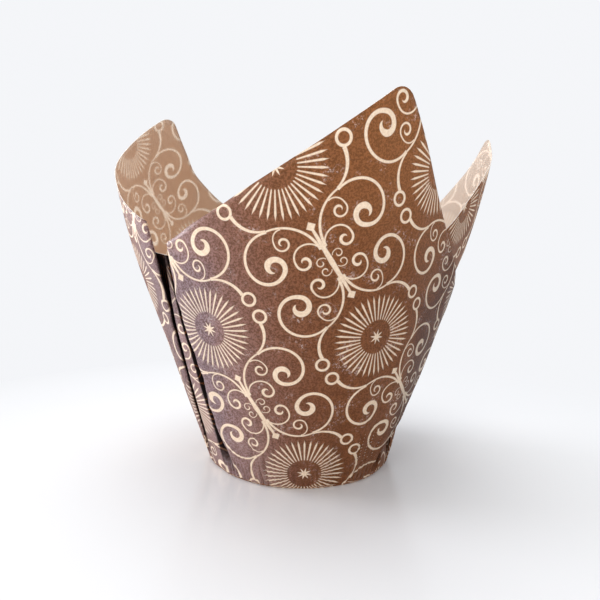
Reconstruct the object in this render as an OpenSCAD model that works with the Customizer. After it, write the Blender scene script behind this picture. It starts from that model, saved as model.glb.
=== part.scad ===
// Tulip baking cup: one square sheet of paper pressed around a round form.
// The base lies on z = 0 and the front faces -Y. All lengths are in millimetres.
// An azimuth is counted in degrees from the front, -Y, toward the right, +X.
// The slant t is the way up the wall from the base edge, measured on the paper.
// The lists of four go round by azimuth: the pleats are front left, front right,
// back right and back left, and the peaks are front, right, back and left.
// A place on the flat sheet is a heading around the base's middle and a distance from it.

/* [Cup] */
// diameter of the flat base
base_d = 50; // [44:1:58]
// lean of the wall out from upright, in degrees
wall_lean = 19.9; // [15:0.1:23]
// thickness of the wall
paper_t = 0.3; // [0.2:0.05:0.4]
// radius of the fold between base and wall
base_fold_r = 0.8; // [0.6:0.1:2.5]
// depth of the crimps that take up slack paper along the base
crimp_depth = 0.3; // [0:0.05:0.5]

/* [Sheet] */
// sides of the nearly square sheet before it is folded
sheet_sides = [174, 171]; // [155:1:185]
// radius of the sheet's rounded corners
corner_r = 3.5; // [2:0.5:8]
// turn of the sheet's front corner toward the right, in degrees
sheet_turn = 11.6; // [0:0.1:20]
// shift of the sheet from the base's middle, to the front left and the front right
sheet_shift = [-2.6, -6.7]; // [-12:0.1:12]

/* [Pleats] */
// azimuths of the pleats at the base
pleat_foot = [-53.5, 60, 133, 218]; // [-60:1:230]
// azimuths of the pleats at the height of the valleys
pleat_top = [-43.5, 46, 130, 205]; // [-60:1:230]
// width of the strip between a pleat's two tucks, at the base
strip_foot_w = 6; // [4:0.5:8]
// width of that strip at the height of the valleys
strip_top_w = 1.2; // [0.8:0.1:3]
// opening of a tuck's mouth at the height of the valleys
mouth_w = 2.4; // [1:0.1:3]
// spacing between the layers of a folded tuck
layer_gap = 1.5; // [1.2:0.1:2]
// how far the panel before a pleat has slid over it at the valleys
overlap = [0, 21, 0, 0]; // [0:1:24]
// pull of the wall toward the middle at each pleat
pinch = [0, 4, 3, 7]; // [0:0.5:9]

/* [Peaks] */
// azimuths of the middle of the panels on the cup
peak_azimuth = [0, 88, 172, 252]; // [0:0.1:360]
// directions of the same lines on the flat sheet
peak_heading = [0, 105, 194.4, 274.8]; // [0:0.1:360]
// how much wider than a plain cone each panel has opened
peak_spread = [1, 1, 0.85, 1.2]; // [0.7:0.05:1.3]
// azimuths where the panels curl inward the most
curl_azimuth = [18, 108, 172, 248]; // [0:1:360]
// inward curl there, at one and a half times the height of the valleys
tip_curl = [0, 6, 4, 16]; // [-10:1:22]

/* [Hidden] */
// azimuth width over which a pinch and a curl fade
pinch_fade = 27;
curl_fade = 38;
// heights, as shares of the valleys', where the curl starts and where it is measured
curl_start = 0.82;
curl_end = 1.5;
// paper gathered by one tuck where it starts at the base
seed_step = 0.55;
// slants over which the tucks first rise, then lay themselves over, and over which the
// crimps fade
rising_t = 12;
opening_t = 16;
crimp_t = 10;
// how the mouths of the tucks widen toward the valleys
mouth_growth = 0.8;
// shortest leg that a tuck keeps
least_leg = 2;
// depth of each pleat's strip, in layer gaps
strip_layer = [0.2, 0.7, 0.2, 0.2];
// how fast a panel slides over its pleat
slide_rate = 1.35;
// depth of the panel behind an overlapped pleat, and the width over which it ends
under_depth = 2.4;
under_fade = 14;
// rounding of a tuck's folds: back from the inner fold and past it, and then
// ahead of the mouth, before it, past it and out to where the wall lies plain
inner_round = [1, 0.3];
mouth_round = [0.8, 0.3, 0.4, 2.6];
// slants of the lower rows, which all columns share
low_rows = [base_fold_r, 3.5, 6, 9, 12.5, 17];
upper_rows = 9;
// stops along one side of a pleat, in steps of its outline
fold_stops = [0, 0.5, 1, 1.6, 2.7, 3.1, 3.5, 3.9, 4.4, 5.7, 6.4, 7.1, 7.8];
outline_steps = 8;
panel_columns = 14;
// how the panel's columns draw together toward the tip
tip_draw = 1.3;
// slants between which the cut edge is sought, and the halvings that find it
cut_span = [20, 140];
cut_steps = 18;

base_r = base_d / 2;
valley_t = ((sheet_sides[0] + sheet_sides[1]) / 2 - base_d) / 2;
cone_tip = base_r / sin(wall_lean);

// a fade from 0 to 1 with level ends
function ease(x) = let (c = min(max(x, 0), 1)) c * c * (3 - 2 * c);

function mix(a, b, f) = a + (b - a) * f;

// the smallest turn between two azimuths
function turn(a) = a - 360 * round(a / 360);

// a bell that is 1 at x = 0
function bell(x, w) = exp(-pow(x / w, 2));

// radius of the plain cone at slant t
function cone_r(t) = base_r + t * sin(wall_lean);

function pleat_azimuth(v, t) = mix(pleat_foot[v], pleat_top[v], min(t / valley_t, 1));

// how far the pleats pull the wall in
function pull_in(az, t) =
    let (pulls = [for (v = [0:3]) pinch[v] * bell(turn(az - pleat_azimuth(v, t)), pinch_fade)])
    pow(t / valley_t, 2) * (pulls * [1, 1, 1, 1]);

// how far a panel's tip curls in
function curl_in(az, t) =
    let (curls = [for (p = [0:3]) tip_curl[p] * bell(turn(az - curl_azimuth[p]), curl_fade)])
    pow(max(t / valley_t - curl_start, 0) / (curl_end - curl_start), 2) * (curls * [1, 1, 1, 1]);

// a place on the wall, pushed in by depth h; a curling wall first stands steeper and so
// higher, and then loses height with the square of its slope, which sums to two thirds
function wall_point(az, t, h) =
    let (
        curl = curl_in(az, t),
        rise = curl * tan(wall_lean) - pow(curl, 2) / max(t - curl_start * valley_t, 1) * 2 / 3,
        r = cone_r(t) - pull_in(az, t) - curl - h
    )
    [r * sin(az), -r * cos(az), t * cos(wall_lean) + rise];

// direction and distance on the flat sheet of a panel's point
function panel_flat(p, az, t) =
    let (
        fan = (az - peak_azimuth[p]) * sin(wall_lean) / peak_spread[p],
        x = (cone_tip + t) * sin(fan),
        y = (cone_tip + t) * cos(fan) - cone_tip + base_r
    )
    [peak_heading[p] + atan2(x, y), norm([x, y])];

// distance of a point of the flat sheet outside its cut edge
function past_cut(flat) =
    let (
        a = flat[0] - sheet_turn,
        place = flat[1] * [cos(a + 45), cos(a - 45)] - sheet_shift,
        q = [for (k = [0:1]) abs(place[k]) - sheet_sides[k] / 2 + corner_r]
    )
    norm([for (d = q) max(d, 0)]) + min(max(q[0], q[1]), 0) - corner_r;

// the sheet's corner that makes the tip of panel p, along the front left and front right
function sheet_corner(p) =
    let (side = [[1, 1], [-1, 1], [-1, -1], [1, -1]][p])
    [for (k = [0:1]) side[k] * sheet_sides[k] / 2 + sheet_shift[k]];

// azimuth of that tip on the cup
function tip_azimuth(p) =
    let (
        corner = sheet_corner(p),
        heading = sheet_turn + atan2(corner[1] - corner[0], corner[0] + corner[1]),
        a = turn(heading - peak_heading[p]),
        fan = atan2(norm(corner) * sin(a), norm(corner) * cos(a) + cone_tip - base_r)
    )
    peak_azimuth[p] + fan * peak_spread[p] / sin(wall_lean);

// how far the panel before pleat v has slid over it
function slid(v, t) = overlap[v] * min(t / valley_t * slide_rate, 1) * ease(t / opening_t);

function strip_half(t) = mix(strip_foot_w, strip_top_w, min(t / valley_t, 1)) / 2;

// where the outer fold of a tuck lies from the pleat's middle; side is 1 or -1
function mouth_at(v, side, t) =
    strip_half(t) + mouth_w * pow(min(t / valley_t, 1), mouth_growth) - (side < 0 ? slid(v, t) : 0);

// azimuth at the end of a pleat's outline, where the panel begins
function pleat_end(v, side, t) =
    let (stop = fold_place(v, side, outline_steps, t))
    pleat_azimuth(v, t) + side * stop[0] / cone_r(t) * 180 / PI;

// paper swallowed by one leg of a tuck on a panel side, from the flat sheet
function leg(v, side, t) =
    let (
        before = panel_flat((v + 3) % 4, panel_side_azimuth(v, -1), valley_t),
        after = panel_flat(v, panel_side_azimuth(v, 1), valley_t),
        arc = turn(after[0] - before[0]) * PI / 180 * (before[1] + after[1]) / 2,
        slack = (arc - strip_top_w - 2 * mouth_w) / 4
    )
    max(slack - side * overlap[v] / 2, least_leg) * t / valley_t;

// azimuth of the mouth of a tuck at the valleys, in the panel's own turn
function panel_side_azimuth(v, side) =
    let (az = pleat_top[v] + side * mouth_at(v, side, valley_t) / cone_r(valley_t) * 180 / PI)
    side < 0 && v == 0 ? az + 360 : az;

// how deep the panel after an overlapped pleat lies at distance s from its middle
function sunk(v, s, t) =
    overlap[v] > 0
        ? under_depth * ease(t / opening_t) * (1 - ease((s - slid(v, t)) / under_fade))
        : 0;

// control points, as distance and depth, of one side of a pleat from its middle
function pleat_outline(v, side, t) =
    let (
        w = strip_half(t),
        open = ease(t / opening_t),
        raised = ease(t / rising_t),
        mouth = mouth_at(v, side, t),
        far = mouth + leg(v, side, t),
        strip_h = strip_layer[v] * layer_gap + (side < 0 ? sunk(v, 0, t) : 0),
        folded = [
            [0, strip_h],
            [w, strip_h],
            [w + 0.4 * mouth_w, 2 * layer_gap],
            [far - inner_round[0], 2 * layer_gap],
            [far + inner_round[1], 1.5 * layer_gap],
            [far - inner_round[0], layer_gap],
            [mouth + mouth_round[0], layer_gap],
            [mouth - mouth_round[1], layer_gap / 2],
            [mouth + mouth_round[2], 0],
            [mouth + mouth_round[3], 0]
        ]
    )
    [
        for (i = [0:len(folded) - 1])
            let (
                level = i == 0 ? 0 : w + (i - 1) * seed_step,
                place = [mix(level, folded[i][0], open), folded[i][1] * raised],
                sink = side > 0 ? sunk(v, max(place[0], 0), t) : 0
            )
            place + [0, sink]
    ];

// a place on that outline, on the quadratic curve through its middles
function fold_place(v, side, u, t) =
    let (
        c = pleat_outline(v, side, t),
        i = min(floor(u), outline_steps - 1),
        f = u - i
    )
    c[i] * pow(1 - f, 2) / 2 + c[i + 1] * (0.5 + f * (1 - f)) + c[i + 2] * pow(f, 2) / 2;

// share of a panel's width for column k, drawn together at the tip
function panel_share(p, k) =
    let (
        tip_t = norm(sheet_corner(p)) - base_r,
        first = pleat_end(p, 1, tip_t),
        last = pleat_end((p + 1) % 4, -1, tip_t) + (p == 3 ? 360 : 0),
        tip = (tip_azimuth(p) - first) / (last - first),
        x = (k + 1) / (panel_columns + 1),
        bend = round(tip * (panel_columns + 1)) / (panel_columns + 1)
    )
    x < bend
        ? tip * (1 - pow(1 - x / bend, tip_draw))
        : tip + (1 - tip) * pow((x - bend) / (1 - bend), tip_draw);

// every column of the sheet, as [pleat, side, stop] or [panel, 0, share, crimp]
columns = [
    for (v = [0:3]) each [
        for (k = [len(fold_stops) - 1:-1:0]) [v, -1, fold_stops[k]],
        [v, 1, -1],
        for (u = fold_stops) [v, 1, u],
        for (k = [0:panel_columns - 1]) [v, 0, panel_share(v, k), k % 2 == 0 ? 1 : -1]
    ]
];

function panel_column_azimuth(c, t) =
    let (
        first = pleat_end(c[0], 1, t),
        last = pleat_end((c[0] + 1) % 4, -1, t) + (c[0] == 3 ? 360 : 0)
    )
    mix(first, last, c[2]);

// flat place of a column's point
function column_flat(c, t) =
    c[1] == 0
        ? panel_flat(c[0], panel_column_azimuth(c, t), t)
        : let (
            before = panel_flat((c[0] + 3) % 4, pleat_end(c[0], -1, t) + (c[0] == 0 ? 360 : 0), t),
            after = panel_flat(c[0], pleat_end(c[0], 1, t), t),
            sweep = turn(after[0] - before[0]),
            share = 0.5 + c[1] * (c[2] + 1) / (outline_steps + 1) / 2
        )
        [after[0] - sweep * (1 - share), mix(before[1], after[1], share)];

// slant at which a column meets the cut edge, by halving the interval
function cut_t(c, low = cut_span[0], high = cut_span[1], n = cut_steps) =
    let (middle = (low + high) / 2)
    n == 0
        ? middle
        : past_cut(column_flat(c, middle)) > 0
            ? cut_t(c, low, middle, n - 1)
            : cut_t(c, middle, high, n - 1);

function column_point(c, t) =
    c[1] == 0
        ? let (
            az = panel_column_azimuth(c, t),
            from_pleat = (az - pleat_azimuth(c[0], t)) * PI / 180 * cone_r(t),
            crimp = crimp_depth * c[3] * (1 - ease(t / crimp_t))
        )
        wall_point(az, t, sunk(c[0], from_pleat, t) + crimp)
        : let (
            place = c[2] < 0 ? pleat_outline(c[0], 1, t)[0] : fold_place(c[0], c[1], c[2], t),
            az = pleat_azimuth(c[0], t) + c[1] * place[0] / cone_r(t) * 180 / PI
        )
        wall_point(az, t, place[1]);

// the fold between base and wall, as a curve that starts level and ends on the wall
function foot_point(c, f) =
    let (
        top = column_point(c, base_fold_r),
        ray = [top[0], top[1], 0] / norm([top[0], top[1]]),
        level = ray * (base_r - base_fold_r),
        corner = ray * base_r
    )
    level * pow(1 - f, 2) + corner * 2 * f * (1 - f) + top * pow(f, 2);

// one column of points from the base to the cut edge
function column_points(c) =
    let (top = cut_t(c), start = low_rows[len(low_rows) - 1])
    [
        foot_point(c, 0),
        foot_point(c, 0.5),
        for (t = low_rows) column_point(c, t),
        for (k = [1:upper_rows]) column_point(c, mix(start, top, k / upper_rows))
    ];

outer = [for (c = columns) column_points(c)];
column_count = len(outer);
row_count = len(outer[0]);

// the outward direction of the sheet at a grid point
function outward(i, j) =
    let (
        along = outer[(i + 1) % column_count][j] - outer[(i + column_count - 1) % column_count][j],
        below = j == 0 ? [0, 0, 0] : outer[i][j - 1],
        up = outer[i][min(j + 1, row_count - 1)] - below,
        flat_up = j == 0 ? [outer[i][0][0], outer[i][0][1], 0] : up,
        n = cross(along, flat_up)
    )
    n / norm(n);

// The printed paper sheet: its outer face, and its inner face one thickness further in.
module liner() {
    inner = [
        for (i = [0:column_count - 1])
            [for (j = [0:row_count - 1]) outer[i][j] - paper_t * outward(i, j)]
    ];
    side = column_count * row_count;
    points = [
        for (face = [outer, inner]) each [for (col = face) each col],
        [0, 0, 0],
        [0, 0, paper_t]
    ];
    faces = [
        for (i = [0:column_count - 1])
            let (a = i * row_count, b = (i + 1) % column_count * row_count)
            each [
                for (j = [0:row_count - 2]) each [
                    [a + j, b + j + 1, b + j],
                    [a + j, a + j + 1, b + j + 1],
                    [side + a + j, side + b + j, side + b + j + 1],
                    [side + a + j, side + b + j + 1, side + a + j + 1]
                ],
                [a + row_count - 1, side + b + row_count - 1, b + row_count - 1],
                [a + row_count - 1, side + a + row_count - 1, side + b + row_count - 1],
                [2 * side, a, b],
                [2 * side + 1, side + b, side + a]
            ]
    ];
    color([0.36, 0.22, 0.16]) polyhedron(points, faces, convexity = 12);
}

liner();
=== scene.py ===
import math

import bpy
import numpy as np
from mathutils import Matrix, Vector


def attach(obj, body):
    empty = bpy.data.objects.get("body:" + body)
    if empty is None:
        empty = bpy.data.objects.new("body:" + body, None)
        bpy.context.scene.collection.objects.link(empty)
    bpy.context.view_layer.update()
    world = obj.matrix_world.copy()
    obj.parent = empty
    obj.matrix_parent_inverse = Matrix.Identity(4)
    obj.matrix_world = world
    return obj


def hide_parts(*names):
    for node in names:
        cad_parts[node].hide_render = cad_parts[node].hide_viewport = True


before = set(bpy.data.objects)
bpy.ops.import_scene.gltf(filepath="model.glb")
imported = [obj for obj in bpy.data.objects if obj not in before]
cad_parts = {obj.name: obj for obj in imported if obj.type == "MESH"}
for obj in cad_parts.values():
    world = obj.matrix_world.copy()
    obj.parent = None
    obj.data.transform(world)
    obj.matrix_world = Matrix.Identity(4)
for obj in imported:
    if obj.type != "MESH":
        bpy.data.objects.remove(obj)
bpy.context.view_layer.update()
print("frame loaded")

mm = 0.001


view = {
    "place": (0.68, -129.3, 50.3),  # mm
    "yaw": -0.53,  # degrees toward +X
    "pitch": 3.11,  # degrees down
    "roll": 1.32,  # degrees, turns the picture clockwise
    "lens": 27.26,  # mm
    "sensor": 36,  # mm
    "clipStart": 0.005,  # m
}


def makeCamera(s):
    yaw, pitch, roll = (math.radians(s[k]) for k in ("yaw", "pitch", "roll"))
    flat = math.cos(pitch)
    ahead = np.array([math.sin(yaw) * flat, math.cos(yaw) * flat, -math.sin(pitch)])
    level = np.cross(ahead, [0, 0, 1])
    level /= np.linalg.norm(level)
    upright = np.cross(level, ahead)
    right = math.cos(roll) * level + math.sin(roll) * upright
    up = -math.sin(roll) * level + math.cos(roll) * upright
    camera = bpy.data.objects.new("camera", bpy.data.cameras.new("camera"))
    bpy.context.scene.collection.objects.link(camera)
    camera.data.lens = s["lens"]
    camera.data.sensor_width = s["sensor"]
    camera.data.clip_start = s["clipStart"]
    turned = Matrix([[right[k], up[k], -ahead[k]] for k in range(3)]).to_4x4()
    camera.matrix_world = Matrix.Translation([v * mm for v in s["place"]]) @ turned
    bpy.context.scene.camera = camera


makeCamera(view)
print("camera placed")


# The same folds as the solid's, a little finer, in mm. Lists of four go round by azimuth: the
# pleats are front left, front right, back right and back left, and the peaks are front, right,
# back and left. The slant t is the way up the wall from the base edge, measured on the paper.
liner = {
    "baseR": 25,
    "lean": 19.9,
    "paperT": 0.15,
    "foldR": 0.8,
    "sheetSides": (174, 171),
    "cornerR": 3.5,
    "sheetTurn": 11.6,
    "sheetShift": (-2.6, -6.7),
    "pleatFoot": (-53.5, 60, 133, 218),
    "pleatTop": (-41, 46, 130, 205),
    "stripFoot": (9.6, 6, 6, 6),
    "stripTop": (0.2, 1.2, 1.2, 1.2),
    "stripDrift": (0.1, 0, 0, 0),  # how fast the strip moves to the left above driftFrom
    "driftFrom": 35,
    "mouth": (2.25, 2.4, 2.4, 2.4),
    "mouthGrowth": (0.3, 0.8, 0.8, 0.8),
    "lipLean": (0.035, 0, 0, 0),  # how fast the right lip comes in
    "lipBulge": (1, 0.2, 0.2, 0.2),
    "bulgeAt": 29,
    "bulgeWide": 6,
    "lipFlare": (0.15, 0, 0, 0),  # how fast both lips open again above flareFrom
    "flareFrom": 48,
    "lipNick": 0.12,  # size of the lips' small waves
    "nickWaves": (1.13, 0.71),  # radians for each mm of slant
    "nickFade": 8,
    "layerGap": 1.3,
    "stripRound": (0.2, 0.6),  # where a strip's edge turns down: mm past it, and share of the way
    # control points of a fold past there: from which line, how far past it, and depth in layers
    "outline": (
        ("strip", 0.35, 2), ("fold", -1, 2), ("fold", 0.3, 1.5), ("fold", -1, 1),
        ("lip", 0.8, 1), ("lip", -0.3, 0.5), ("lip", 0.4, 0), ("lip", 2.6, 0),
    ),
    "overlap": (0, 21, 0, 0),
    "pinch": (0, 4, 3, 7),
    "peakAzimuth": (0, 88, 172, 252),
    "peakHeading": (0, 105, 194.4, 274.8),
    "peakSpread": (1, 1, 0.85, 1.2),
    "curlAzimuth": (18, 108, 172, 248),
    "tipCurl": (0, 6, 4, 16),
    "pinchFade": 27,
    "curlFade": 38,
    "curlStart": 0.82,
    "curlEnd": 1.5,
    "seedStep": 0.49,
    "risingT": 12,
    "openingT": 16,
    "leastLeg": 2,
    "stripLayer": (0.2, 0.7, 0.2, 0.2),
    "stripSink": (1.5, 0, 0.4, 0.4),  # further layers that the strip sinks toward the valley
    "sinkFrom": 0.6,  # share of the valley's slant, and how much of it the sinking takes
    "sinkOver": 0.42,
    "slideRate": 1.35,
    "underDepth": 2.4,
    "underFade": 14,
    "outlineSteps": 9,
    "shareTo": 140,
    "shareRows": 71,
    "foldColumns": 38,  # columns on one side of a pleat
    "foldEndGap": 0.1,  # outline steps left free at the pleat's end
    "panelColumns": 80,
    "panelCrowding": 1.15,  # how much closer the columns stand at a peak's tip
    "baseRows": 4,
    "footRows": 4,
    "lowRows": 22,
    "highRows": 48,
    "lowT": 17,
    "lowCrowding": 1.3,  # how much closer the rows stand at the base
    "cutRange": (20, 140),  # slants between which the cut edge is sought
    "cutHalvings": 24,
    "baseFade": (0.6, 0.35),  # shares of the base's radius, from where and over how much
    "bakeSpan": 260,  # mm of the flat sheet to the height of the OFBake map
}
sinLean = math.sin(math.radians(liner["lean"]))
cosLean = math.cos(math.radians(liner["lean"]))
coneTip = liner["baseR"] / sinLean
valleyT = (sum(liner["sheetSides"]) / 2 - 2 * liner["baseR"]) / 2


def ease(x):
    c = np.clip(x, 0, 1)
    return c * c * (3 - 2 * c)


def mix(a, b, f):
    return a + (b - a) * f


# the same angle between -180 and 180 degrees
def turn(a):
    return a - 360 * np.round(a / 360)


def pick(key, v):
    return np.array(liner[key], float)[v]


def coneR(t):
    return liner["baseR"] + t * sinLean


def pleatAzimuth(v, t):
    return mix(pick("pleatFoot", v), pick("pleatTop", v), np.minimum(t / valleyT, 1))


# bells of azimuth around the pleats, growing with the square of the slant
def pullIn(az, t):
    pulls = sum(
        liner["pinch"][v] * np.exp(-(turn(az - pleatAzimuth(v, t)) / liner["pinchFade"]) ** 2)
        for v in range(4)
    )
    return (t / valleyT) ** 2 * pulls


# bells of azimuth around the peaks, growing with the square of the slant past the curl's start
def curlIn(az, t):
    curls = sum(
        liner["tipCurl"][p] * np.exp(-(turn(az - liner["curlAzimuth"][p]) / liner["curlFade"]) ** 2)
        for p in range(4)
    )
    high = np.maximum(t / valleyT - liner["curlStart"], 0) / (liner["curlEnd"] - liner["curlStart"])
    return high**2 * curls


# x = r sin(az), y = -r cos(az), z = t cos(lean) + rise, with r the cone's radius less pull, curl
# and depth h, and the rise from the curl less the height that its arc, 2/3 curl^2 / length, costs
def wallPoint(az, t, h):
    curl = curlIn(az, t)
    rise = curl * sinLean / cosLean
    loss = curl**2 / np.maximum(t - liner["curlStart"] * valleyT, 1) * 2 / 3
    r = coneR(t) - pullIn(az, t) - curl - h
    a = np.radians(az)
    return np.stack([r * np.sin(a), -r * np.cos(a), t * cosLean + rise - loss], -1)


# the cone unrolled: heading and distance from the base's middle on the flat sheet
def panelFlat(p, az, t):
    fan = np.radians(az - pick("peakAzimuth", p)) * sinLean / pick("peakSpread", p)
    x = (coneTip + t) * np.sin(fan)
    y = (coneTip + t) * np.cos(fan) - coneTip + liner["baseR"]
    return pick("peakHeading", p) + np.degrees(np.arctan2(x, y)), np.hypot(x, y)


# signed distance outside a rounded square
def pastCut(heading, rho):
    a = heading - liner["sheetTurn"]
    place = [
        rho * np.cos(np.radians(a + way)) - liner["sheetShift"][k] for k, way in enumerate((45, -45))
    ]
    q = [np.abs(place[k]) - liner["sheetSides"][k] / 2 + liner["cornerR"] for k in (0, 1)]
    outside = np.hypot(np.maximum(q[0], 0), np.maximum(q[1], 0))
    return outside + np.minimum(np.maximum(q[0], q[1]), 0) - liner["cornerR"]


# azimuth and slant of the sheet's corner in peak p, unrolled back from the flat sheet
def tipAzimuth(p):
    corner = ((1, 1), (-1, 1), (-1, -1), (1, -1))[p]
    x, y = (corner[k] * liner["sheetSides"][k] / 2 + liner["sheetShift"][k] for k in (0, 1))
    heading = liner["sheetTurn"] + math.degrees(math.atan2(y - x, x + y))
    a = math.radians(turn(heading - liner["peakHeading"][p]))
    far = math.hypot(x, y)
    fan = math.degrees(math.atan2(far * math.sin(a), far * math.cos(a) + coneTip - liner["baseR"]))
    return liner["peakAzimuth"][p] + fan * liner["peakSpread"][p] / sinLean, far - liner["baseR"]


# how far the panel before a pleat laps over it
def slid(v, t):
    rate = np.minimum(t / valleyT * liner["slideRate"], 1)
    return pick("overlap", v) * rate * ease(t / liner["openingT"])


def stripHalf(v, t):
    return mix(pick("stripFoot", v), pick("stripTop", v), np.minimum(t / valleyT, 1)) / 2


# a lip's distance from the pleat's middle: half the strip, and a mouth that opens as a power of
# the slant. The right lip leans in and bulges, both flare at the top and have small waves.
def mouthAt(v, side, t):
    opened = pick("mouth", v) * np.minimum(t / valleyT, 1) ** pick("mouthGrowth", v)
    bulge = pick("lipBulge", v) * np.exp(-(((t - liner["bulgeAt"]) / liner["bulgeWide"]) ** 2))
    right = np.where(side > 0, bulge - pick("lipLean", v) * np.minimum(t, valleyT), 0)
    flare = pick("lipFlare", v) * np.maximum(np.minimum(t, valleyT) - liner["flareFrom"], 0)
    short, long = liner["nickWaves"]
    nick = liner["lipNick"] * (np.sin(t * short + side + v) + np.sin(t * long + 2 * side))
    uneven = right + flare + nick * ease((valleyT - t) / liner["nickFade"])
    lip = stripHalf(v, t) + opened + uneven * ease(t / liner["openingT"])
    return lip - np.where(side < 0, slid(v, t), 0)


# share by which a strip has sunk toward the valley
def sinking(t):
    return ease((t / valleyT - liner["sinkFrom"]) / liner["sinkOver"])


# a quarter of the sheet's slack at the valleys, shared with the lap, growing with the slant
def leg(v, side, t):
    perMm = 180 / math.pi / coneR(valleyT)
    wrap = np.where(v == 0, 360, 0)
    azBefore = pick("pleatTop", v) - mouthAt(v, np.array(-1), valleyT) * perMm + wrap
    azAfter = pick("pleatTop", v) + mouthAt(v, np.array(1), valleyT) * perMm
    before, after = panelFlat((v + 3) % 4, azBefore, valleyT), panelFlat(v, azAfter, valleyT)
    arc = np.radians(turn(after[0] - before[0])) * (before[1] + after[1]) / 2
    slack = (arc - pick("stripTop", v) - 2 * pick("mouth", v)) / 4
    return np.maximum(slack - side * pick("overlap", v) / 2, liner["leastLeg"]) * t / valleyT


# depth of what lies under the lap, at a distance s to the right of the pleat's middle
def sunk(v, s, t):
    fade = ease(t / liner["openingT"]) * (1 - ease((s - slid(v, t)) / liner["underFade"]))
    return np.where(pick("overlap", v) > 0, liner["underDepth"] * fade, 0)


# control points, as distance from the pleat's middle and depth, stacked on the first axis
def pleatOutline(v, side, t):
    w, gap, m = stripHalf(v, t), liner["layerGap"], mouthAt(v, side, t)
    far = m + leg(v, side, t)
    drifted = np.maximum(np.minimum(t, valleyT) - liner["driftFrom"], 0)
    middle = -side * pick("stripDrift", v) * drifted
    w = w + middle
    lift = (pick("stripLayer", v) + pick("stripSink", v) * sinking(t)) * gap
    lift = lift + np.where(side < 0, sunk(v, 0, t), 0)
    edge, share = liner["stripRound"]
    folded = [(middle, lift), (w, lift), (w + edge, mix(lift, 2 * gap, share))]
    start = {"strip": w, "fold": far, "lip": m}
    folded += [(start[line] + past, layers * gap) for line, past, layers in liner["outline"]]
    opened, raised = ease(t / liner["openingT"]), ease(t / liner["risingT"])
    points = []
    for i, (across, deep) in enumerate(folded):
        flat = middle if i == 0 else w + (i - 1) * liner["seedStep"]
        x = mix(flat, across, opened)
        h = deep * raised + np.where(side > 0, sunk(v, np.maximum(x, 0), t), 0)
        points.append((x + 0 * h, h + 0 * x))
    return np.array(points)


# quadratic B-spline a (1-f)^2 / 2 + b (1/2 + f (1-f)) + c f^2 / 2 over those points a, b, c, where
# f is the part past the last whole one of u steps
def foldPlace(v, side, u, t):
    c = pleatOutline(v, side, t)
    i = np.minimum(np.floor(u), liner["outlineSteps"] - 1).astype(int)
    f = u - i
    i = np.broadcast_to(i, c.shape[2:])
    near = [np.take_along_axis(c, (i + k)[None, None], 0)[0] for k in range(3)]
    return near[0] * (1 - f) ** 2 / 2 + near[1] * (0.5 + f * (1 - f)) + near[2] * f**2 / 2


# azimuth at which a pleat's fold ends and the plain panel begins
def pleatEnd(v, side, t):
    across = foldPlace(v, side, np.array(float(liner["outlineSteps"])) + 0 * t, t)[0]
    return pleatAzimuth(v, t) + side * across / coneR(t) * 180 / math.pi


# every column, going round: which pleat or panel, which side, steps along the outline or share
def makeColumns():
    n, m = liner["foldColumns"], liner["panelColumns"]
    steps = np.linspace(0, liner["outlineSteps"] - liner["foldEndGap"], n)
    rows = []
    for v in range(4):
        tip, tipT = tipAzimuth(v)
        after = (v + 1) % 4
        first = pleatEnd(np.array(v), np.array(1), np.array(tipT))
        last = pleatEnd(np.array(after), np.array(-1), np.array(tipT)) + (360 if v == 3 else 0)
        tipShare = (tip - first) / (last - first)
        x = np.arange(1, m + 1) / (m + 1)
        bend = np.round(tipShare * (m + 1)) / (m + 1)
        toTip, pastTip = 1 - np.minimum(x / bend, 1), np.maximum((x - bend) / (1 - bend), 0)
        below = tipShare * (1 - toTip ** liner["panelCrowding"])
        above = tipShare + (1 - tipShare) * pastTip ** liner["panelCrowding"]
        share = np.where(x < bend, below, above)
        rows += [(v, -1, u) for u in steps[::-1]] + [(v, 1, u) for u in steps[1:]]
        rows += [(v, 0, s) for s in share]
    return np.array(rows)


columns = makeColumns()
which = columns[:, :1].astype(int)
onPanel = columns[:, 1:2] == 0
foldSide = np.where(onPanel, 1, columns[:, 1:2]).astype(int)
along = columns[:, 2:]


# azimuth of every column as if it were a panel's, by its share between two pleats' ends
def panelAzimuth(t):
    first = pleatEnd(which, np.array(1), t)
    last = pleatEnd((which + 1) % 4, np.array(-1), t) + np.where(which == 3, 360, 0)
    return mix(first, last, along)


# azimuth and depth of every column at slants t
def columnPlace(t):
    fold = foldPlace(which, foldSide, np.where(onPanel, 0, along) + 0 * t, t)
    foldAz = pleatAzimuth(which, t) + foldSide * fold[0] / coneR(t) * 180 / math.pi
    panelAz = panelAzimuth(t)
    beyond = np.radians(panelAz - pleatAzimuth(which, t)) * coneR(t)
    depth = np.where(onPanel, sunk(which, beyond, t), fold[1])
    return np.where(onPanel, panelAz, foldAz), depth


# share of a pleat's paper up to each of its columns, from the fold's own length at even slants
def foldShares():
    t = np.tile(np.linspace(0, liner["shareTo"], liner["shareRows"]), (len(columns), 1))
    az, h = columnPlace(t)
    place = np.stack([np.radians(az) * coneR(t), h], -1)
    shares = np.zeros(t.shape)
    for v in range(4):
        own = np.flatnonzero((which[:, 0] == v) & ~onPanel[:, 0])
        steps = np.linalg.norm(np.diff(place[own], axis=0), axis=-1)
        shares[own[1:]] = np.cumsum(steps, 0) / steps.sum(0)
    return shares


shares = foldShares()


# the same share at any slant, between the rows of that table
def shareAt(t):
    last = liner["shareRows"] - 1
    x = np.clip(t / liner["shareTo"] * last, 0, last - 0.001)
    i = np.floor(x).astype(int)
    return mix(np.take_along_axis(shares, i, 1), np.take_along_axis(shares, i + 1, 1), x - i)


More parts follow.
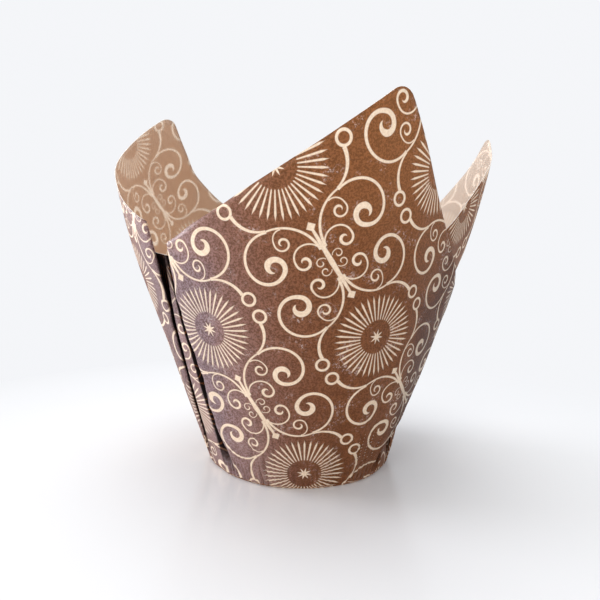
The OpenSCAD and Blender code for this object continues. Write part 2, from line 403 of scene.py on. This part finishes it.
# heading and distance of every column on the flat sheet at slants t: a panel's from the unrolled
# cone, and a fold's by its share of the paper between the two panels' ends
def columnFlat(t):
    panel = panelFlat(which, panelAzimuth(t), t)
    wrap = np.where(which == 0, 360, 0)
    before = panelFlat((which + 3) % 4, pleatEnd(which, np.array(-1), t) + wrap, t)
    after = panelFlat(which, pleatEnd(which, np.array(1), t), t)
    sweep = turn(after[0] - before[0])
    share = shareAt(t)
    heading = np.where(onPanel, panel[0], after[0] - sweep * (1 - share))
    return heading, np.where(onPanel, panel[1], mix(before[1], after[1], share))


# slant of the cut edge at every column, by halving the interval
def cutSlant():
    low, high = (np.full((len(columns), 1), float(t)) for t in liner["cutRange"])
    for _ in range(liner["cutHalvings"]):
        middle = (low + high) / 2
        out = pastCut(*columnFlat(middle)) > 0
        low, high = np.where(out, low, middle), np.where(out, middle, high)
    return low


# creases, as depths added to the wall, in mm: sharp crimps at the base and soft waves above
creases = {
    "seed": 4,
    "crimpDepth": 0.42,
    "crimpT": 16,  # slant over which the crimps fade
    "crimpFade": 1.5,  # power of that fade
    "crimpUneven": 0.6,
    "crimpWaves": (36, 72, 5),  # least and greatest number round the cup, and how many of them
    "crimpSway": (1.5, 9),  # degrees to the side, and mm of slant for each radian
    "crestSharp": (1.6, 0.7),
    "reachWaves": (5, 19, 4),
    "softDepth": 0.4,
    "softWaves": (9, 26, 5),
    "softSlope": 0.25,  # degrees for each mm of slant
    "softT": 20,
    "softFree": 9,  # degrees around a pleat that stay free of soft waves
}


# the mean of some sines round the cup, with whole numbers of waves
def roundWave(az, rng, low, high, count):
    waves = rng.integers(low, high, count)
    phases, sizes = rng.uniform(0, 2 * math.pi, count), rng.uniform(0.5, 1, count)
    total = sum(s * np.sin(np.radians(az) * n + p) for n, p, s in zip(waves, phases, sizes))
    return total / sizes.sum()


# bells of azimuth around the pleats
def nearPleat(az, t):
    near = [np.exp(-(turn(az - pleatAzimuth(v, t)) / creases["softFree"]) ** 2) for v in range(4)]
    return np.clip(sum(near), 0, 1)


# crimp = (1 - 2 |sin(k wave)|^sharp) exp(-(t / reach)^fade), where the reach varies round the cup;
# soft = a wave that leans with the slant, eases in with it and keeps off the pleats
def creaseDepth(az, t):
    c = creases
    rng = np.random.default_rng(c["seed"])
    sway, swayT = c["crimpSway"]
    fine = roundWave(az + sway * np.sin(t / swayT), rng, *c["crimpWaves"])
    steep, sharp = c["crestSharp"]
    crest = 1 - 2 * np.abs(np.sin(steep * fine)) ** sharp
    reach = c["crimpT"] * (1 + c["crimpUneven"] * roundWave(az, rng, *c["reachWaves"]))
    crimp = crest * np.exp(-((t / reach) ** c["crimpFade"]))
    wave = roundWave(az + c["softSlope"] * t, rng, *c["softWaves"])
    soft = c["softDepth"] * wave * ease(t / c["softT"])
    return c["crimpDepth"] * crimp + soft * (1 - nearPleat(az, t)), crimp


# where the finishes change, as point attributes: painted shade in the tucks from one outline step
# to another, crimped as the crimps are, and a painted sheen around the front left
marking = {
    "tuckFrom": (0.25, 0.2),  # outline steps, from where and over how much
    "tuckTo": (8.1, 0.5),
    "tuckT": 9,  # slant over which the painted shade in the tucks fades in
    "middleFrom": (4.3, 0.4),  # the folds' middle layers, whose print shows at the rim
    "rim": (12, 6),  # mm below the cut edge, from where and over how much
    "sinkWhole": 1.5,  # layers of sinking at which a strip lies wholly in the shade
    "sheenAzimuth": -40,
    "sheenWide": 32,
    "sheenNarrows": 0.15,  # degrees for each mm of slant
}


# a painted sheen, a cool reflection painted into the print, as a bell of azimuth that narrows upward
def paintedSheenShare(az, t):
    wide = marking["sheenWide"] - marking["sheenNarrows"] * t
    return np.exp(-((turn(az - marking["sheenAzimuth"]) / wide) ** 2))


# how far a place lies in painted shade: inside a tuck, apart from its middle layers' print that
# shows at the rim, or on a sunken strip
def tuckShare(t, top):
    m = marking
    begun = ease((along - m["tuckFrom"][0]) / m["tuckFrom"][1])
    tuck = begun * ease((m["tuckTo"][0] - along) / m["tuckTo"][1])
    middle = ease((along - m["middleFrom"][0]) / m["middleFrom"][1])
    nearRim = middle * ease((t - top + m["rim"][0]) / m["rim"][1])
    strip = (1 - begun) * sinking(t) * pick("stripSink", which) / m["sinkWhole"]
    return (tuck * (1 - nearRim) + strip) * ~onPanel * ease(t / m["tuckT"])


# the outer face as a grid of points, with its places on the flat sheet and its marks; the foot
# is the quadratic curve a (1-f)^2 + b 2 f (1-f) + c f^2 from the level base to the wall
def makeSheet():
    top = cutSlant()
    rise = np.linspace(0, 1, liner["lowRows"])[None] ** liner["lowCrowding"]
    low = rise * (liner["lowT"] - liner["foldR"]) + liner["foldR"]
    high = np.linspace(0, 1, liner["highRows"] + 1)[None, 1:]
    t = np.concatenate([np.repeat(low, len(columns), 0), mix(liner["lowT"], top, high)], 1)
    az, h = columnPlace(t)
    heading, rho = columnFlat(t)
    depth, crimp = creaseDepth(az, t)
    wall = wallPoint(az, t, h + depth)
    foot = wall[:, :1]
    ray = foot * [1, 1, 0] / np.hypot(foot[..., 0], foot[..., 1])[..., None]
    level, corner = ray * (liner["baseR"] - liner["foldR"]), ray * liner["baseR"]
    f = np.linspace(0, 1, liner["footRows"] + 1)[None, :-1, None]
    footPoints = level * (1 - f) ** 2 + corner * 2 * f * (1 - f) + foot * f**2
    rings = np.linspace(0, 1, liner["baseRows"] + 1)[None, 1:-1, None]
    basePoints = level * rings
    points = np.concatenate([basePoints, footPoints, wall], 1)
    # flat places there: the base lies unturned, and eases into the wall's headings
    inner = np.concatenate([basePoints, footPoints], 1)
    innerAz = np.degrees(np.arctan2(inner[..., 0], -inner[..., 1]))
    innerR = np.hypot(inner[..., 0], inner[..., 1])
    fadeFrom, fadeOver = liner["baseFade"]
    fade = ease((innerR / liner["baseR"] - fadeFrom) / fadeOver)
    innerHeading = innerAz + turn(heading[:, :1] - innerAz) * fade
    heading = np.concatenate([innerHeading, heading], 1)
    rho = np.concatenate([innerR, rho], 1)
    a = np.radians(heading)
    # painted shade in the tucks and on sunken strips, and a painted sheen at the front left
    tucked = tuckShare(t, top)
    marks = {"tucked": tucked, "crimped": crimp * ~(tucked > 0), "paintedSheen": paintedSheenShare(az, t)}
    plain = np.zeros(innerR.shape)
    marks = {name: np.concatenate([plain, mark], 1) for name, mark in marks.items()}
    return points, np.stack([rho * np.sin(a), rho * np.cos(a)], -1), marks


# unit normals of a closed grid of points: the cross product of its two differences
def gridNormals(points):
    around = np.roll(points, -1, 0) - np.roll(points, 1, 0)
    up = np.gradient(points, axis=1)
    n = np.cross(around, up)
    return n / np.linalg.norm(n, axis=-1, keepdims=True)


def makeLiner():
    outer, flat, marks = makeSheet()
    inner = outer - liner["paperT"] * gridNormals(outer)
    c, r = outer.shape[:2]
    middles = [[0, 0, 0], [0, 0, liner["paperT"]]]
    verts = np.concatenate([outer.reshape(-1, 3), inner.reshape(-1, 3), middles])
    i, j = np.meshgrid(np.arange(c), np.arange(r - 1), indexing="ij")
    a, b = (i * r + j).ravel(), ((i + 1) % c * r + j).ravel()
    outside = np.stack([a, b, b + 1, a + 1], 1)
    inside = outside[:, ::-1] + c * r
    edge = np.arange(c) * r
    rimA, rimB = edge + r - 1, np.roll(edge, -1) + r - 1
    rim = np.stack([rimA, rimB, rimB + c * r, rimA + c * r], 1)
    middle = 2 * c * r
    under = np.stack([edge, np.full(c, middle), np.roll(edge, -1)], 1)
    floor = np.stack([edge + c * r, np.roll(edge, -1) + c * r, np.full(c, middle + 1)], 1)
    quads = np.concatenate([outside, inside, rim])
    corners = np.concatenate([quads.ravel(), under.ravel(), floor.ravel()])
    sizes = np.concatenate([np.full(len(quads), 4), np.full(2 * c, 3)])
    slots = np.concatenate([
        np.zeros(len(outside)), np.ones(len(inside)), np.full(c, 2), np.zeros(c), np.ones(c)
    ])
    mesh = bpy.data.meshes.new("liner_sheet")
    mesh.vertices.add(len(verts))
    mesh.vertices.foreach_set("co", (verts * mm).ravel())
    mesh.loops.add(len(corners))
    mesh.loops.foreach_set("vertex_index", corners.astype(np.int32))
    mesh.polygons.add(len(sizes))
    mesh.polygons.foreach_set("loop_start", np.append(0, np.cumsum(sizes)[:-1]).astype(np.int32))
    mesh.polygons.foreach_set("material_index", slots.astype(np.int32))
    mesh.update(calc_edges=True)
    mesh.polygons.foreach_set("use_smooth", np.ones(len(sizes), bool))
    # the flat sheet in mm, for the print, and both faces side by side in the OFBake map
    flatAll = np.concatenate([flat.reshape(-1, 2), flat.reshape(-1, 2), [[0, 0], [0, 0]]])
    cornerFlat = flatAll[corners]
    mesh.uv_layers.new(name="flatSheet").data.foreach_set("uv", cornerFlat.ravel())
    slotAt = np.repeat(slots, sizes)
    half = np.where(slotAt[:, None] == 1, [0.75, 0.5], [0.25, 0.5])
    bake = cornerFlat * [0.5 / liner["bakeSpan"], 1 / liner["bakeSpan"]] + half
    mesh.uv_layers.new(name="OFBake").data.foreach_set("uv", bake.ravel())
    mesh.uv_layers.active = mesh.uv_layers["flatSheet"]
    for name, mark in marks.items():
        values = np.concatenate([mark.ravel(), mark.ravel(), [0, 0]]).astype(np.float32)
        mesh.attributes.new(name, "FLOAT", "POINT").data.foreach_set("value", values)
    piece = bpy.data.objects.new("liner_sheet", mesh)
    bpy.context.scene.collection.objects.link(piece)
    print("sheet:", c, "columns,", r, "rows,", 4 * c * (r - 1) + 4 * c, "triangles")
    return piece


# a number that varies over a surface; sums and products of it make Math nodes
class Field:
    def __init__(self, tree, socket):
        self.tree, self.socket = tree, socket

    def calc(self, operation, *others, clamp=False):
        node = self.tree.nodes.new("ShaderNodeMath")
        node.operation, node.use_clamp = operation, clamp
        for slot, value in zip(node.inputs, (self, *others)):
            if isinstance(value, Field):
                self.tree.links.new(value.socket, slot)
            else:
                slot.default_value = value
        return Field(self.tree, node.outputs[0])

    def __add__(self, other):
        return self.calc("ADD", other)

    def __sub__(self, other):
        return self.calc("SUBTRACT", other)

    def __mul__(self, other):
        return self.calc("MULTIPLY", other)

    def __truediv__(self, other):
        return self.calc("DIVIDE", other)

    def __rsub__(self, other):
        return self * -1 + other

    def __neg__(self):
        return self * -1

    def abs(self):
        return self.calc("ABSOLUTE")

    def least(self, other):
        return self.calc("MINIMUM", other)

    def most(self, other):
        return self.calc("MAXIMUM", other)


def farOf(x, y):
    return (x * x + y * y).calc("SQRT")


def newGroup(name, inputs, outputs):
    tree = bpy.data.node_groups.new(name, "ShaderNodeTree")
    for way, sockets in (("INPUT", inputs), ("OUTPUT", outputs)):
        for label, kind in sockets.items():
            tree.interface.new_socket(label, in_out=way, socket_type="NodeSocket" + kind)
    return tree, tree.nodes.new("NodeGroupInput"), tree.nodes.new("NodeGroupOutput")


# A scrollwork print in flat-sheet mm: rows of scroll medallions and sunbursts. In a medallion's
# frame a runs along its bar and b across it, and it is the same in all four quarters.
scroll = {
    "sunPlace": (-5.03, 98.33),
    "barWay": (0.5355, -0.8445),  # unit direction along the bars
    "pitch": 40.72,  # from sun to sun along a row
    "rowStep": (20.79, 31.1),  # shift and spacing of the rows
    "barEnd": 8.0,
    "barHalf": 0.6,
    "barTaper": 0.04,
    "diamond": 1.05,
    "diamondSlant": 0.7,  # distance across a slanting edge for each mm of its two axes' sum
    "ring": (18.3, 12.85, 1.32, 0.31),  # a, b, radius, half width
    "stems": (  # centre a, b, radius, from and to in degrees, widths there
        (3.6, 8.4, 7.8, -92, -5, 0.66, 0.42),
        (17.2, 6.3, 5.85, 167, 92, 0.42, 0.85),
    ),
    # centre a, b, start and turn in degrees, inner radius, shrink for each degree, flare and the
    # turn that it fades over, first and greatest width
    "volutes": (
        (4.65, 10.05, -20, 540, 3.1, 0.004, 3.85, 230, 0.5, 1.35),
        (7.9, 6.15, -22, 520, 1.86, 0.0028, 0.85, 95, 0.32, 0.56),
        (2.7, 4.55, -82, 520, 2.14, 0.0033, 2.0, 165, 0.36, 0.72),
        (0.95, 1.95, -80, 400, 1.05, 0.0018, 0.2, 60, 0.24, 0.34),
    ),
    "headShare": 0.24,  # share of a volute's turn over which its head draws to a point
    "headRound": 0.7,
    "headEnd": 0.02,  # mm for each degree past the turn's end
    "rays": 40,
    "rayFrom": 3.85,
    "rayTo": 9.8,
    "rayHalf": 0.27,
    "rayShape": (0.55, 0.5, 12, 4.5),  # half width: first, growth, and slopes at the two ends
    "star": (0.72, 1.1),  # radius between the points, and how much further they reach
    "starSlant": 0.5,
    "inkSpread": 0.04,  # mm by which the brown closes in on the bare lines
}


# part of a ring: distance to the circle less half the width, cut off past its two angles
def arcGap(a, b, centreA, centreB, radius, start, end, widthStart, widthEnd):
    x, y = a - centreA, b - centreB
    middle, half = math.radians((start + end) / 2), math.radians(abs(end - start) / 2)
    angle = (y.calc("ARCTAN2", x) - middle).calc("WRAP", math.pi, -math.pi)
    share = angle * (math.copysign(1, end - start) / (2 * half)) + 0.5
    halfWidth = (share * (widthEnd - widthStart) + widthStart) * 0.5
    return ((farOf(x, y) - radius).abs() - halfWidth).most((angle.abs() - half) * radius)


# a spiral: radius = start - shrink * turn + flare * ease(1 - turn / early), for each lap of it;
# the line widens along it and its head draws in to a point
def voluteGap(a, b, s):
    centreA, centreB, start, turned, radius, shrink, flare, early, thin, thick = s
    x, y = a - centreA, b - centreB
    rho = farOf(x, y)
    first = (y.calc("ARCTAN2", x) * (180 / math.pi) - start).calc("FLOORED_MODULO", 360)
    head = turned * scroll["headShare"]
    gap = None
    for lap in range(math.ceil(turned / 360)):
        angle = first + 360 * lap
        soon = (1 - angle / early).most(0)
        r = radius - angle * shrink + soon * soon * (3 - soon * 2) * flare
        width = (angle / (turned - head)).least(1) * (thick - thin) + thin
        drawn = ((turned - angle) / head).most(0).least(1).calc("POWER", scroll["headRound"])
        own = ((rho - r).abs() - width * drawn * 0.5).most((angle - turned) * scroll["headEnd"])
        gap = own if gap is None else gap.least(own)
    return gap


def makeScrollGroup():
    tree, entry, end = newGroup("scrollPrint", {"Flat": "Vector", "Soft": "Float"}, {"Print": "Float"})
    parts = tree.nodes.new("ShaderNodeSeparateXYZ")
    tree.links.new(entry.outputs["Flat"], parts.inputs[0])
    px = Field(tree, parts.outputs[0]) - scroll["sunPlace"][0]
    py = Field(tree, parts.outputs[1]) - scroll["sunPlace"][1]
    ux, uy = scroll["barWay"]
    shift, spacing = scroll["rowStep"]
    u = px * ux + py * uy
    w = px * -uy + py * ux
    row = (w / spacing).calc("ROUND")
    half = scroll["pitch"] / 2
    a = (u + row * shift - half).calc("WRAP", half, -half).abs()
    b = (w - row * spacing).abs()

    # the medallion
    bar = (b + a * scroll["barTaper"] - scroll["barHalf"]).most(a - scroll["barEnd"])
    diamond = ((a - scroll["barEnd"]).abs() + b - scroll["diamond"]) * scroll["diamondSlant"]
    ringA, ringB, ringR, ringHalf = scroll["ring"]
    ring = (farOf(a - ringA, b - ringB) - ringR).abs() - ringHalf
    gap = bar.least(diamond).least(ring)
    for s in scroll["stems"]:
        gap = gap.least(arcGap(a, b, *s))
    for s in scroll["volutes"]:
        gap = gap.least(voluteGap(a, b, s))

    # the sunburst: tapered rays round a plain disc, with an eight-pointed star in it
    x = a - half
    rho, angle = farOf(x, b), b.calc("ARCTAN2", x)
    step = 2 * math.pi / scroll["rays"]
    off = ((angle / step).calc("FRACT") - 0.5).abs() * step * rho
    share = (rho - scroll["rayFrom"]) / (scroll["rayTo"] - scroll["rayFrom"])
    first, growth, opening, closing = scroll["rayShape"]
    width = (share * growth + first).least((1 - share) * closing).least(share * opening)
    ray = off - width * scroll["rayHalf"]
    point = ((angle / (math.pi / 4)).calc("FRACT") - 0.5).abs() * 2
    least, reach = scroll["star"]
    star = (rho - (point * point * reach + least)) * scroll["starSlant"]
    gap = gap.least(ray).least(star)

    soft = Field(tree, entry.outputs["Soft"])
    mask = (0.5 - (gap + scroll["inkSpread"]) / soft).calc("ADD", 0, clamp=True)
    tree.links.new(mask.socket, end.inputs["Print"])
    return tree


# grain of the print and the paper: each noise as its scale, detail and roughness
paper = {
    "fine": (2400, 4, 0.75),
    "fibre": (900, 4, 0.55),
    "cloud": (60, 4, 0.55),
    "worn": (210, 3, 0.55),
    "rubbed": (1700, 3, 0.7),
    "fleckContrast": 13,
    "wornFrom": (0.53, 9),  # noise value at which it starts, and contrast past there
    "rubbedFrom": (0.54, 14),
}


def makeGrainGroup():
    outputs = ("Fleck", "Scuff", "Cloud", "Height")
    tree, entry, end = newGroup("paperGrain", {"Place": "Vector"}, dict.fromkeys(outputs, "Float"))

    def noise(name):
        node = tree.nodes.new("ShaderNodeTexNoise")
        for label, value in zip(("Scale", "Detail", "Roughness"), paper[name]):
            node.inputs[label].default_value = value
        tree.links.new(entry.outputs["Place"], node.inputs["Vector"])
        return Field(tree, node.outputs[0])

    def above(name):
        start, contrast = paper[name + "From"]
        return ((noise(name) - start) * contrast).calc("ADD", 0, clamp=True)

    fine = noise("fine")
    fleck = ((fine - 0.5) * paper["fleckContrast"] + 0.5).calc("ADD", 0, clamp=True)
    scuff = above("rubbed") * above("worn")
    height = noise("fibre") * 0.5 + fine * 0.5
    for label, value in zip(outputs, (fleck, scuff, noise("cloud"), height)):
        tree.links.new(value.socket, end.inputs[label])
    return tree


scrollGroup = makeScrollGroup()
grainGroup = makeGrainGroup()
print("print and grain groups built")


# a material under way, with short calls for its nodes
class Finish:
    def __init__(self, name):
        self.material = bpy.data.materials.new(name)
        self.material.use_nodes = True
        self.tree = self.material.node_tree
        self.shader = self.tree.nodes["Principled BSDF"]
        self.output = self.tree.nodes["Material Output"]

    def put(self, kind, **values):
        node = self.tree.nodes.new(kind)
        for key, value in values.items():
            setattr(node, key, value)
        return node

    def join(self, source, target):
        self.tree.links.new(source.socket if isinstance(source, Field) else source, target)

    def flat(self):
        return self.put("ShaderNodeUVMap", uv_map="flatSheet").outputs[0]

    def place(self):
        return self.put("ShaderNodeTexCoord").outputs["Object"]

    def mark(self, name):
        return Field(self.tree, self.put("ShaderNodeAttribute", attribute_name=name).outputs["Fac"])

    def group(self, tree, **inputs):
        node = self.put("ShaderNodeGroup", node_tree=tree)
        for key, value in inputs.items():
            if hasattr(value, "is_output"):
                self.join(value, node.inputs[key])
            else:
                node.inputs[key].default_value = value
        return node.outputs

    def blend(self, share, first, second):
        node = self.put("ShaderNodeMix", data_type="RGBA")
        for value, slot in zip((share, first, second), (node.inputs[k] for k in (0, 6, 7))):
            if isinstance(value, tuple):
                slot.default_value = (*value, 1)
            else:
                self.join(value, slot)
        return node.outputs[2]

    def letThrough(self, colour, share):
        behind = self.put("ShaderNodeBsdfTranslucent")
        both = self.put("ShaderNodeMixShader")
        self.join(colour, behind.inputs["Color"])
        both.inputs[0].default_value = share
        self.join(self.shader.outputs[0], both.inputs[1])
        self.join(behind.outputs[0], both.inputs[2])
        self.join(both.outputs[0], self.output.inputs["Surface"])

    def bump(self, height, strength, distance):
        node = self.put("ShaderNodeBump")
        node.inputs["Strength"].default_value = strength
        node.inputs["Distance"].default_value = distance
        self.join(height, node.inputs["Height"])
        self.join(node.outputs[0], self.shader.inputs["Normal"])


printed = {
    "brown": (0.08, 0.018, 0.0045),
    "brownPale": (0.2, 0.075, 0.033),
    "brownDeep": (0.012, 0.003, 0.001),
    "scuff": (0.6, 0.5, 0.46),
    # colour of the painted sheen, a cool reflection
    "paintedSheenColour": (0.42, 0.36, 0.42),
    "bare": (0.88, 0.73, 0.57),
    "bareWorn": (0.66, 0.48, 0.34),
    # painted shade in the tucks, and the print's lines as they show in that shade
    "tuck": (0.006, 0.0015, 0.001),
    "tuckAmber": (0.12, 0.035, 0.008),
    "throughBrown": (0.6, 0.27, 0.09),
    "throughBare": (0.95, 0.85, 0.7),
    "through": 0.3,
    "soft": 0.14,  # mm over which a line's edge blurs
    "cloudShare": 0.3,
    "scuffShare": 0.75,
    "wornShare": 0.6,
    "paintedSheenShare": (0.19, 0.4),  # painted sheen: least, and more in the flecks
    "valleyShadeShare": 0.7,  # painted shade in the crimps' valleys, and the scuff colour on their crests
    "crestShare": 0.22,
    "roughness": 0.45,
    "gloss": 0.25,
    "bump": (0.35, 0.0002),  # strength, and height in m
}


def printedFinish(s):
    f = Finish("printedPaper")
    grain = f.group(grainGroup, Place=f.place())
    fleck, cloud, scuff = (Field(f.tree, grain[k]) for k in ("Fleck", "Cloud", "Scuff"))
    mask = f.group(scrollGroup, Flat=f.flat(), Soft=s["soft"])["Print"]
    brown = f.blend(fleck, s["brownDeep"], s["brownPale"])
    brown = f.blend(cloud * s["cloudShare"], brown, s["brown"])
    brown = f.blend(scuff * s["scuffShare"], brown, s["scuff"])
    bare = f.blend(fleck * s["wornShare"], s["bare"], s["bareWorn"])
    # painted sheen around the front left, stronger in the flecks
    least, more = s["paintedSheenShare"]
    brown = f.blend((fleck * more + least) * f.mark("paintedSheen"), brown, s["paintedSheenColour"])
    # painted shade in the crimps' valleys; their crests take some of the scuff colour
    crimp = f.mark("crimped")
    brown = f.blend(crimp.most(0) * s["valleyShadeShare"], brown, s["brownDeep"])
    brown = f.blend((-crimp).most(0) * s["crestShare"], brown, s["scuff"])
    # painted shade in the tucks and on sunken strips, with the print as amber lines on near black
    shade = f.mark("tucked")
    tuck = f.blend(mask, s["tuck"], s["tuckAmber"])
    f.join(f.blend(shade, f.blend(mask, brown, bare), tuck), f.shader.inputs["Base Color"])
    f.join(shade * (1 - s["roughness"]) + s["roughness"], f.shader.inputs["Roughness"])
    through = f.blend(mask, s["throughBrown"], s["throughBare"])
    # the painted shade also darkens the light let through in the tucks
    f.letThrough(f.blend(shade, through, s["tuck"]), s["through"])
    f.shader.inputs["Specular IOR Level"].default_value = s["gloss"]
    f.bump(grain["Height"], *s["bump"])
    return f.material


inside = {
    "pale": (0.92, 0.86, 0.79),
    "paler": (0.96, 0.91, 0.85),
    "shownBrown": (0.91, 0.82, 0.7),
    "through": 0.6,
    "soft": 0.5,  # mm over which the print that shows through blurs
    "roughness": 0.55,
    "gloss": 0.25,
    "bump": (0.3, 0.0002),
}


def insideFinish(s):
    f = Finish("insidePaper")
    grain = f.group(grainGroup, Place=f.place())
    mask = f.group(scrollGroup, Flat=f.flat(), Soft=s["soft"])["Print"]
    pale = f.blend(grain["Cloud"], s["pale"], s["paler"])
    colour = f.blend(mask, s["shownBrown"], pale)
    f.join(colour, f.shader.inputs["Base Color"])
    f.letThrough(colour, s["through"])
    f.shader.inputs["Roughness"].default_value = s["roughness"]
    f.shader.inputs["Specular IOR Level"].default_value = s["gloss"]
    f.bump(grain["Height"], *s["bump"])
    return f.material


edge = {"white": (0.86, 0.8, 0.74), "worn": (0.7, 0.6, 0.52), "roughness": 0.8}


def edgeFinish(s):
    f = Finish("cutEdge")
    grain = f.group(grainGroup, Place=f.place())
    f.join(f.blend(grain["Fleck"], s["white"], s["worn"]), f.shader.inputs["Base Color"])
    f.shader.inputs["Roughness"].default_value = s["roughness"]
    return f.material


sheet = makeLiner()
for finish in (printedFinish(printed), insideFinish(inside), edgeFinish(edge)):
    sheet.data.materials.append(finish)
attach(sheet, "root")
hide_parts("liner")
print("liner made")


stage = {
    "floor": (0.87, 0.875, 0.87),
    "floorRoughness": 0.22,
    "floorReach": 3.0,  # m
    "fadeFrom": 0.04,  # m from the middle, where the floor starts to turn into backdrop
    "fadeTo": 0.15,
    "backdrop": (0.91, 0.92, 0.945),
    "world": (0.9, 0.93, 1.0),
    "worldStrength": 0.68,
    "lamps": (  # name, place in m, aim in m, size in m, watts, colour
        ("window", (-1.1, 0.24, 0.13), (0, 0, 0.06), 0.5, 20.0, (0.9, 0.92, 1.0)),
        ("front", (-0.33, -0.47, 0.13), (0, 0, 0.06), 0.25, 1.7, (1.0, 0.96, 0.91)),
        ("top", (-0.05, 0.05, 0.6), (0, 0, 0.05), 0.4, 1.5, (1.0, 0.98, 0.95)),
    ),
}


# 1 for the rays that see the plain backdrop, of the camera, gloss and light through paper
def seenRays(tree):
    path = tree.nodes.new("ShaderNodeLightPath")
    camera, gloss, through = (
        Field(tree, path.outputs["Is %s Ray" % kind]) for kind in ("Camera", "Glossy", "Transmission")
    )
    return (camera + gloss + through).least(1)


def makeWorld(s):
    world = bpy.data.worlds.new("studio")
    bpy.context.scene.world = world
    world.use_nodes = True
    tree = world.node_tree
    light = tree.nodes["Background"]
    light.inputs[0].default_value = (*s["world"], 1)
    light.inputs[1].default_value = s["worldStrength"]
    seen = tree.nodes.new("ShaderNodeBackground")
    seen.inputs[0].default_value = (*s["backdrop"], 1)
    either = tree.nodes.new("ShaderNodeMixShader")
    tree.links.new(seenRays(tree).socket, either.inputs[0])
    tree.links.new(light.outputs[0], either.inputs[1])
    tree.links.new(seen.outputs[0], either.inputs[2])
    tree.links.new(either.outputs[0], tree.nodes["World Output"].inputs["Surface"])


# the floor turns into the backdrop's plain colour with distance, for the same rays
def makeFloor(s):
    mesh = bpy.data.meshes.new("floor")
    far = s["floorReach"]
    corners = [(-far, -far, 0), (far, -far, 0), (far, far, 0), (-far, far, 0)]
    mesh.from_pydata(corners, [], [(0, 1, 2, 3)])
    floor = bpy.data.objects.new("floor", mesh)
    bpy.context.scene.collection.objects.link(floor)
    f = Finish("floorPaint")
    f.shader.inputs["Base Color"].default_value = (*s["floor"], 1)
    f.shader.inputs["Roughness"].default_value = s["floorRoughness"]
    parts = f.put("ShaderNodeSeparateXYZ")
    f.join(f.place(), parts.inputs[0])
    away = farOf(Field(f.tree, parts.outputs[0]), Field(f.tree, parts.outputs[1]))
    share = ((away - s["fadeFrom"]) / (s["fadeTo"] - s["fadeFrom"])).most(0).least(1)
    plain = f.put("ShaderNodeEmission")
    plain.inputs[0].default_value = (*s["backdrop"], 1)
    both = f.put("ShaderNodeMixShader")
    f.join(share * seenRays(f.tree), both.inputs[0])
    f.join(f.shader.outputs[0], both.inputs[1])
    f.join(plain.outputs[0], both.inputs[2])
    f.join(both.outputs[0], f.output.inputs["Surface"])
    mesh.materials.append(f.material)


def makeStage(s):
    makeWorld(s)
    makeFloor(s)
    for name, place, aim, size, watts, colour in s["lamps"]:
        lamp = bpy.data.lights.new(name, "AREA")
        lamp.size, lamp.energy, lamp.color = size, watts, colour
        piece = bpy.data.objects.new(name, lamp)
        bpy.context.scene.collection.objects.link(piece)
        piece.location = place
        piece.rotation_euler = (Vector(place) - Vector(aim)).to_track_quat("Z", "Y").to_euler()
    bpy.context.scene.view_settings.view_transform = "Standard"


makeStage(stage)
print("stage lit")
